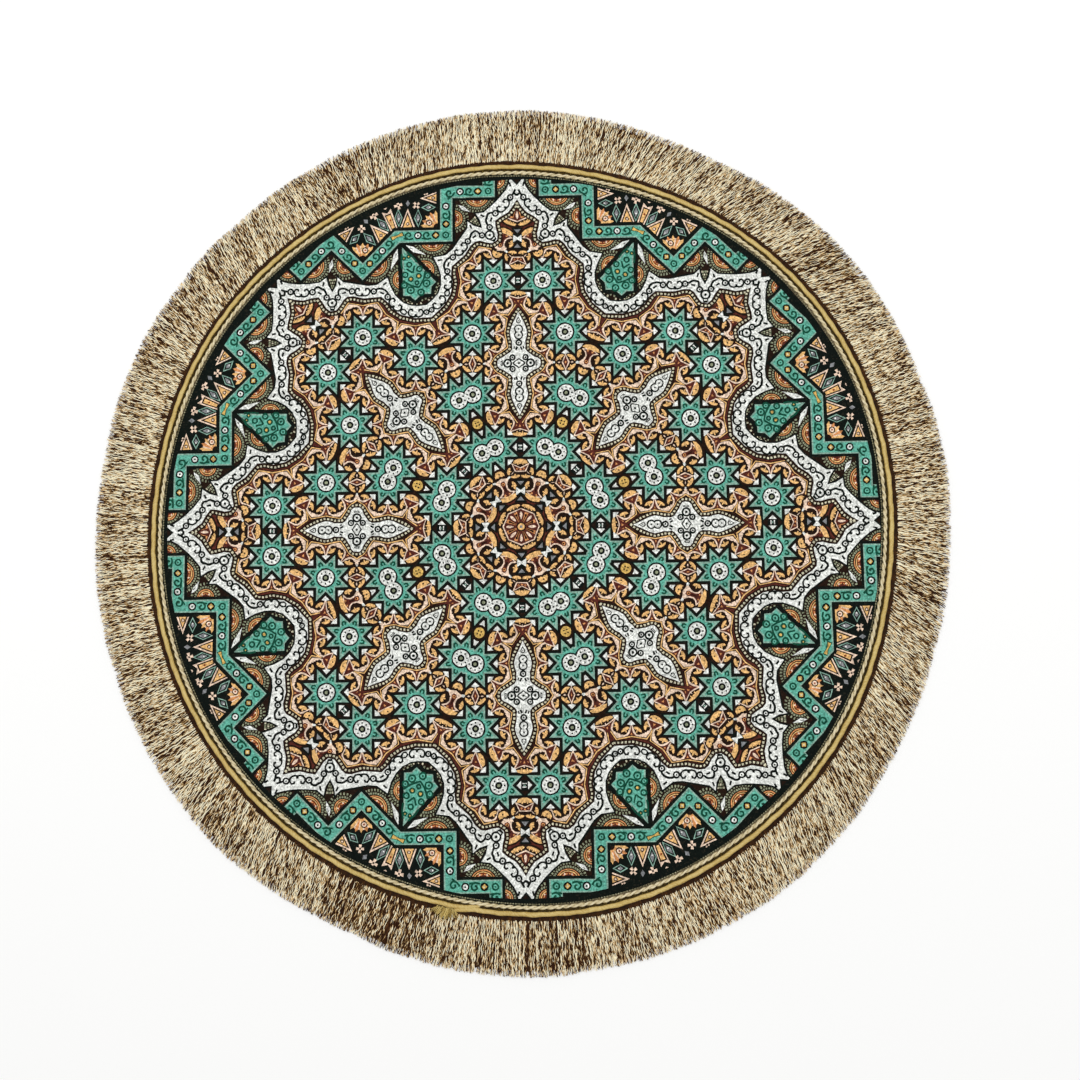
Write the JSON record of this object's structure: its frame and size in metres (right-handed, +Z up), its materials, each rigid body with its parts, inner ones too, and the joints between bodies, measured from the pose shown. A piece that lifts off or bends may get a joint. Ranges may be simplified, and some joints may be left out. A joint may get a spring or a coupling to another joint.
{
  "type": "round turkish rug",
  "caption": "Flat round woven rug with a star pattern, edged with a pale cord and a gold braid and finished with a fringe of cut yarn. It lies on a floor or a table.",
  "frame": {"origin": "middle of the rug's own box, on the surface that it lies on", "axes": "+Z up from the surface to the patterned side, +Y to the far side of the rug, +X to its right"},
  "size_m": [0.992, 1.0102, 0.0056],
  "materials": {
    "woven_ground": "flat weave, matt, with a fine rib",
    "fringe_yarn": "loose twisted yarn with a soft sheen",
    "pale_cord": "twisted cord with a soft sheen",
    "gold_braid": "satin braid"
  },
  "bodies": {
    "root": {"rug_ground": "woven_ground", "fringe": "fringe_yarn", "edge_cord": "pale_cord", "gold_braid": "gold_braid"}
  },
  "joints": []
}
